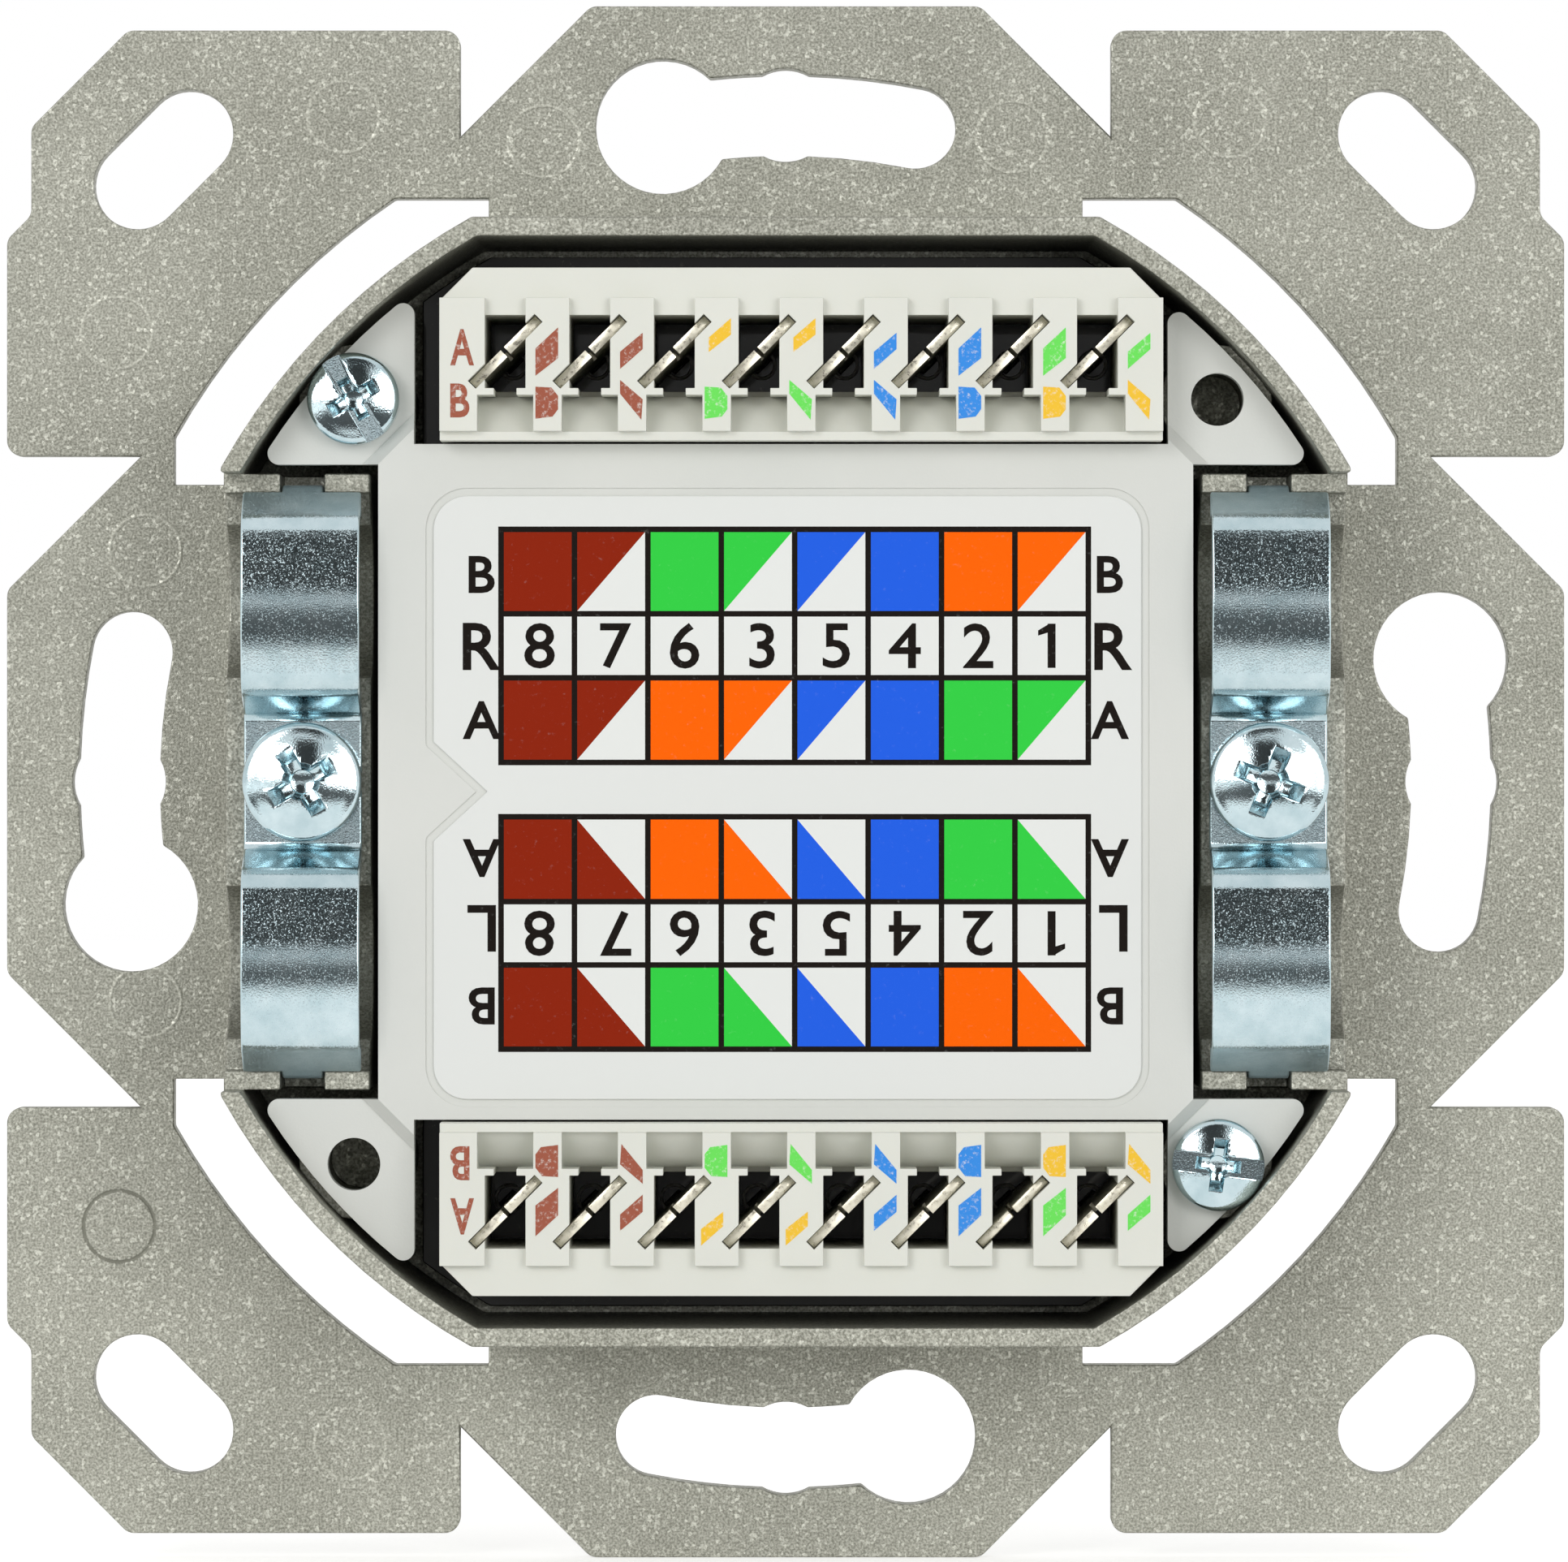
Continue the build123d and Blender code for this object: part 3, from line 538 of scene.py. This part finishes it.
def split_field(row, middle, low, high, fall, ink):
    """Cuts a field of a row from corner to corner, with ink on its left and white on its right."""
    half_width = (column_pitch - line_width) / 2
    half_height = (high - low - line_width) / 2
    bpy.ops.object.mode_set(mode="EDIT")
    bpy.ops.mesh.select_mode(type="VERT")
    bpy.ops.mesh.select_all(action="DESELECT")
    bpy.ops.object.mode_set(mode="OBJECT")
    for across in (-1, 1):
        corner = Vector((middle + across * half_width, row.data.vertices[0].co.y,
                         (low + high) / 2 + across * fall * half_height))
        nearest = min(row.data.vertices, key=lambda vertex: (vertex.co - corner).length)
        nearest.select = True
    bpy.ops.object.mode_set(mode="EDIT")
    bpy.ops.mesh.vert_connect()
    bpy.ops.object.mode_set(mode="OBJECT")
    for face in row.data.polygons:
        if len(face.vertices) == 3 and abs(face.center.x - middle) < half_width:
            face.material_index = inks.index(ink if face.center.x < middle else "white")


def table_row(low, high, fields, fall):
    """One row of a table: a black grid whose fields take their wires' colours."""
    bpy.ops.object.select_all(action="DESELECT")
    bpy.ops.mesh.primitive_grid_add(x_subdivisions=column_count, y_subdivisions=1, size=1.0)
    row = bpy.context.object
    row.data.transform(
        Matrix.Translation(((table_left + table_right) / 2, label_face - ink_depth, (low + high) / 2))
        @ Matrix.Rotation(radians(90), 4, "X")
        @ Matrix.Diagonal((table_right - table_left, high - low, 1.0, 1.0))
    )
    dress(row, *label_ink.values())
    take(row)
    bpy.ops.object.mode_set(mode="EDIT")
    bpy.ops.mesh.select_mode(type="FACE")
    bpy.ops.mesh.select_all(action="SELECT")
    bpy.ops.mesh.inset(thickness=line_width / 2, use_individual=True)
    bpy.ops.object.mode_set(mode="OBJECT")
    for face in row.data.polygons:
        if face.select:
            place = int((face.center.x - table_left) / column_pitch)
            face.material_index = inks.index(fields[place].split()[0])
    for place, field in enumerate(fields):
        if "striped" in field:
            middle = table_left + (place + 0.5) * column_pitch
            split_field(row, middle, low, high, fall, field.split()[0])
    return row


first_way = ["brown", "brown striped", "orange", "orange striped",
             "blue striped", "blue", "green", "green striped"]
second_way = ["brown", "brown striped", "green", "green striped",
              "blue striped", "blue", "orange", "orange striped"]
numbers = ["8", "7", "6", "3", "5", "4", "2", "1"]

# Each table's turn and the fall of its stripes, then its rows: the letter at both ends, the low
# and high edge, the letter's rise off the middle, all in millimetres, and the way of wiring.
tables = {
    "upper": (0, 1, [
        ("B", 7.46, 11.21, -0.13, second_way),
        ("R", 4.62, 7.46, -0.03, None),
        ("A", 0.86, 4.62, 0.0, first_way),
    ]),
    "lower": (180, -1, [
        ("A", -5.32, -1.55, 0.05, first_way),
        ("L", -8.13, -5.32, 0.22, None),
        ("B", -11.87, -8.13, 0.05, second_way),
    ]),
}
number_face = label_face - ink_depth
half_line = line_width / 2
for name, (turn, fall, rows) in tables.items():
    left, right = table_left - half_line, table_right + half_line
    top, bottom = rows[0][2] * mm + half_line, rows[-1][1] * mm - half_line
    parts = [flat_mark(
        [(left, bottom), (right, bottom), (right, top), (left, top)],
        label_face, ink_depth / 2, label_ink["black"],
    )]
    for letter, low, high, rise, fields in rows:
        row = table_row(low * mm, high * mm, fields or ["white"] * column_count, fall)
        apply_modifier(row, "SOLIDIFY", thickness=ink_depth / 2, offset=-1)
        parts.append(row)
        row_middle = (low + high) / 2 * mm
        for letter_x in (letter_left, letter_right[letter]):
            parts.append(printed_sign(
                letter, letter_x, row_middle + rise * mm, letter_heights[letter], label_face,
                ink_depth, label_ink["black"], turn, letter_weight,
            ))
        if fields:
            continue
        for place, number in enumerate(numbers):
            number_x = table_left + (place + 0.5) * column_pitch + number_shift.get(number, 0.0)
            parts.append(printed_sign(
                number, number_x, row_middle, number_height, number_face, ink_depth,
                label_ink["black"], turn, number_weight, number_spread,
            ))
            if number == "1":
                parts.append(flat_mark(
                    [(number_x + fall * x * mm, row_middle + fall * z * mm) for x, z in flag_of_one],
                    number_face, ink_depth / 2, label_ink["black"],
                ))
    table = joined(parts, f"wiring_table_{name}")
    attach(table, "socket")

# Cover screws
# Zinc-plated pan-head screws that hold the cover in two opposite ears. The head is cold-headed
# into a low dome, with a cross recess and a slot over its whole width.
head_sides = 72
head_edge = 0.045 * mm
rim_radius = 0.3 * mm
rim_steps = 5
dome_radius = 7.0 * mm
dome_steps = 8
recess_depth = 1.35 * mm
floor_share = 0.6
core_share = 0.26
core_depth = 1.15 * recess_depth
core_middle = 0.55 * recess_depth
slot_depth = 0.5 * mm
over_head = 0.02 * mm
tip_length = 0.3 * mm
tip_share = 0.8
head_sharp = 38
head_smooth = 36


def zinc_plating(name, grain_depth, dullest):
    """Bright zinc with the cold blue of its passivation, over a grain of the given depth that
    is dull in specks."""
    plating = Finish(name, Metallic=1.0)
    cloud = plating.noise(1.1 * mm, 4.0, 0.6)
    grain = plating.noise(0.08 * mm, 2.0, 0.6)
    plating.dull_specks = plating.ramp(grain, 0.46, 0.74, 0.05, dullest)
    plating.paint(
        Base_Color=plating.mix(cloud, linear("#9DB6BD"), linear("#D6E4E8")),
        Roughness=plating.dull_specks,
    )
    plating.bump(grain, grain_depth, 0.7)
    return plating


def cut(piece, cutter):
    """Takes the cutter's space out of the piece, and the cutter out of the scene."""
    apply_modifier(piece, "BOOLEAN", object=cutter, operation="DIFFERENCE", solver="EXACT")
    bpy.data.objects.remove(cutter)


def tapered_blade(length, width, depth, top, turn, floor):
    """A blade of the driver: a block that goes down into the head from its top, narrower below."""
    bpy.ops.object.select_all(action="DESELECT")
    bpy.ops.mesh.primitive_cube_add(size=1.0)
    blade = bpy.context.object
    blade.data.transform(
        Matrix.Rotation(radians(turn), 4, "Z") @ Matrix.Translation((0, 0, top - depth / 2))
        @ Matrix.Diagonal((length, width, depth, 1.0))
    )
    for corner in blade.data.vertices:
        if corner.co.z < top - depth / 2:
            corner.co.x *= floor
            corner.co.y *= floor
    return blade


def choose_end(piece, side):
    """Opens a turned piece for modelling, with its flat face at one end selected."""
    bpy.ops.object.mode_set(mode="EDIT")
    bpy.ops.mesh.select_mode(type="FACE")
    bpy.ops.mesh.select_all(action="DESELECT")
    bpy.ops.object.mode_set(mode="OBJECT")
    max(piece.data.polygons, key=lambda face: side * face.center.z).select = True
    bpy.ops.object.mode_set(mode="EDIT")


def pan_head_screw(
    node, name, head_height, shank_radius, recess_length, recess_width, turn, slot_width=0.0
):
    """A screw in the place of its CAD node: a domed head with a cross recess, and a plain shank."""
    low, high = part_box(node)
    head_radius = (high.x - low.x) / 2
    dome_edge = head_radius - rim_radius
    dome_height = dome_edge**2 / 2 / dome_radius
    rim_low = head_height - dome_height - rim_radius
    bpy.ops.object.select_all(action="DESELECT")
    bpy.ops.mesh.primitive_cylinder_add(
        vertices=head_sides, radius=head_radius, depth=rim_low, location=(0, 0, rim_low / 2)
    )
    screw = bpy.context.object
    screw.name = name
    bpy.ops.object.transform_apply(location=True, rotation=True, scale=True)
    profile = []
    for step in range(1, rim_steps):
        angle = radians(90 / rim_steps * step)
        profile.append((dome_edge + rim_radius * cos(angle), rim_low + rim_radius * sin(angle)))
    for step in range(dome_steps):
        reach = dome_edge * (1 - step / dome_steps)
        profile.append((reach, head_height - reach**2 / 2 / dome_radius))
    choose_end(screw, 1)
    reached, raised = head_radius, rim_low
    for radius, height in profile:
        bpy.ops.mesh.inset(thickness=reached - radius, depth=height - raised)
        reached, raised = radius, height
    bpy.ops.object.mode_set(mode="OBJECT")
    choose_end(screw, -1)
    shank_length = high.y - low.y - head_height
    bpy.ops.mesh.inset(thickness=head_radius - shank_radius)
    for stretch in (tip_length - shank_length, -tip_length):
        bpy.ops.mesh.extrude_region_move(TRANSFORM_OT_translate={"value": (0, 0, stretch)})
    bpy.ops.transform.resize(value=(tip_share, tip_share, 1.0))
    bpy.ops.object.mode_set(mode="OBJECT")
    for quarter in (0, 90):
        cut(screw, tapered_blade(
            recess_length, recess_width, recess_depth, head_height + over_head, turn + quarter,
            floor_share,
        ))
    bpy.ops.object.select_all(action="DESELECT")
    bpy.ops.mesh.primitive_cone_add(
        vertices=24, radius1=core_share * recess_length * floor_share,
        radius2=core_share * recess_length, depth=core_depth,
        location=(0, 0, head_height - core_middle),
    )
    cut(screw, bpy.context.object)
    if slot_width:
        cut(screw, tapered_blade(
            4 * head_radius, slot_width, 2 * slot_depth, head_height + slot_depth, turn, 1.0
        ))
    apply_modifier(
        screw, "BEVEL", width=head_edge, segments=2, limit_method="ANGLE",
        angle_limit=radians(head_sharp), use_clamp_overlap=True,
    )
    bpy.ops.object.shade_smooth_by_angle(angle=radians(head_smooth))
    apply_modifier(screw, "WEIGHTED_NORMAL", keep_sharp=True)
    screw.data.transform(
        Matrix.Translation(((low.x + high.x) / 2, low.y + head_height, (low.z + high.z) / 2))
        @ Matrix.Rotation(radians(90), 4, "X")
    )
    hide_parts(node)
    return screw


bright_zinc = zinc_plating("bright_zinc", 0.006 * mm, 0.12)
for place, turn in (("top_left", -60), ("bottom_right", -7)):
    screw = pan_head_screw(
        f"cover_screw_{place}", f"cover_screw_{place}_plated", head_height=1.6 * mm,
        shank_radius=1.25 * mm, recess_length=2.4 * mm, recess_width=0.65 * mm, turn=turn,
        slot_width=0.88 * mm,
    )
    dress(screw, bright_zinc)
    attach(screw, "socket")

# Clamp straps
# Bent zinc-plated steel strips. A cable lies under each arch, and a tongue at each end guides
# the strap in the casting. Both ends are duller from the bending.
strap_edge = 0.16 * mm
arch_end = 11.6 * mm
dull_end = 12.0 * mm
rolled_zinc = zinc_plating("rolled_zinc", 0.007 * mm, 0.34)
strap_z = rolled_zinc.node("ShaderNodeSeparateXYZ", {}, {0: rolled_zinc.place}, "Z")
from_middle = rolled_zinc.reckon("ABSOLUTE", strap_z)
rolled_zinc.paint(
    Roughness=rolled_zinc.dull_specks + rolled_zinc.ramp(from_middle, arch_end, dull_end, 0.0, 0.45)
)
for side in ("left", "right"):
    strap = broken_edges(f"clamp_strap_{side}", f"clamp_strap_{side}_plated", strap_edge, 3, sharp=40)
    dress(strap, rolled_zinc)
    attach(strap, f"strap_{side}")

# Clamp screws
# Zinc-plated pan-head screws with a cross recess, through the middle of each strap into the
# casting.
for side, turn in (("left", 30), ("right", -22)):
    screw = pan_head_screw(
        f"clamp_screw_{side}", f"clamp_screw_{side}_plated", head_height=2.0 * mm,
        shank_radius=1.5 * mm, recess_length=3.3 * mm, recess_width=0.8 * mm, turn=turn,
    )
    dress(screw, bright_zinc)
    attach(screw, f"screw_{side}")

# Studio
# A pale floor under the upright socket, a white room, a soft lamp on each side, and a dark
# card and ramp on the camera's side that show in the bright metal alone.
floor_size = 4.0
floor_level = cad_low.z - 0.02 * mm
floor_glow = 0.55
card_distance = 0.95
card_width = 0.32
card_low = 0.0616
card_high = 0.56
ramp_near = 0.14
room_light = 0.55
lamp_size = 0.32
lamps = {"key_lamp": ((-0.33, -0.75, 0.2), 1.85), "fill_lamp": ((0.33, -0.75, 0.1), 1.5)}
camera_place = (-0.000074, -0.52, 0.000037)
camera_lens = 262.6
film_width = 36.0


def seen_by(finish, first, *others):
    """1 for light rays of the given kinds, and 0 for all others."""
    shown = finish.node("ShaderNodeLightPath", {}, {}, first)
    rays = shown.socket.node.outputs
    for other in others:
        shown = finish.reckon("MAXIMUM", shown, Value(finish, rays[other]))
    return shown


bpy.ops.object.select_all(action="DESELECT")
bpy.ops.mesh.primitive_plane_add(size=floor_size, location=(0, 0, floor_level))
floor = bpy.context.object
floor.name = "floor"
pale_floor = Finish("pale_floor", Base_Color=linear("#F2F2F0"), Roughness=0.8)
shown = seen_by(pale_floor, "Is Camera Ray", "Is Glossy Ray")
glow = pale_floor.node(
    "ShaderNodeEmission", {}, {"Color": (1, 1, 1, 1), "Strength": shown * floor_glow}
)
lit = pale_floor.node(
    "ShaderNodeAddShader", {}, {0: Value(pale_floor, pale_floor.surface.outputs[0]), 1: glow}
)
pale_floor.feed(pale_floor.tree.nodes["Material Output"].inputs["Surface"], lit)
dress(floor, pale_floor)
floor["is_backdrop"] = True

dark_cloth = Finish("dark_cloth", Base_Color=linear("#4A4A4A"), Roughness=0.9)
for name, ends in {
    "dark_card": [(-card_distance, card_low), (-card_distance, card_high)],
    "dark_ramp": [(-card_distance, 0.0), (-ramp_near, floor_level + mm)],
}.items():
    bpy.ops.object.select_all(action="DESELECT")
    bpy.ops.mesh.primitive_plane_add(size=1.0)
    card = bpy.context.object
    card.name = name
    for corner in card.data.vertices:
        y, z = ends[corner.co.y > 0]
        corner.co = (corner.co.x * card_width, y, z)
    dress(card, dark_cloth)
    card.visible_camera = False
    card.visible_diffuse = False
    card.visible_shadow = False
    card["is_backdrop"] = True


class Surroundings(Finish):
    """The empty space round the object: how bright it looks, and how much light it gives."""

    def __init__(self, world):
        world.use_nodes = True
        self.tree = world.node_tree
        self.surface = self.tree.nodes["Background"]


bpy.context.scene.world = bpy.data.worlds.new("studio")
room = Surroundings(bpy.context.scene.world)
shown = seen_by(room, "Is Camera Ray", "Is Glossy Ray", "Is Transmission Ray")
room.paint(Color=(1, 1, 1, 1), Strength=shown * (1 - room_light) + room_light)

for name, (place, power) in lamps.items():
    bpy.ops.object.light_add(type="AREA", location=place)
    lamp = bpy.context.object
    lamp.name = name
    lamp.data.energy = power
    lamp.data.size = lamp_size
    lamp.rotation_euler = (-Vector(place)).to_track_quat("-Z", "Y").to_euler()

bpy.ops.object.camera_add(location=camera_place, rotation=(radians(90), 0, 0))
camera = bpy.context.object
camera.data.lens = camera_lens
camera.data.sensor_width = film_width
bpy.context.scene.camera = camera
bpy.context.scene.view_settings.view_transform = "Standard"

low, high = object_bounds()
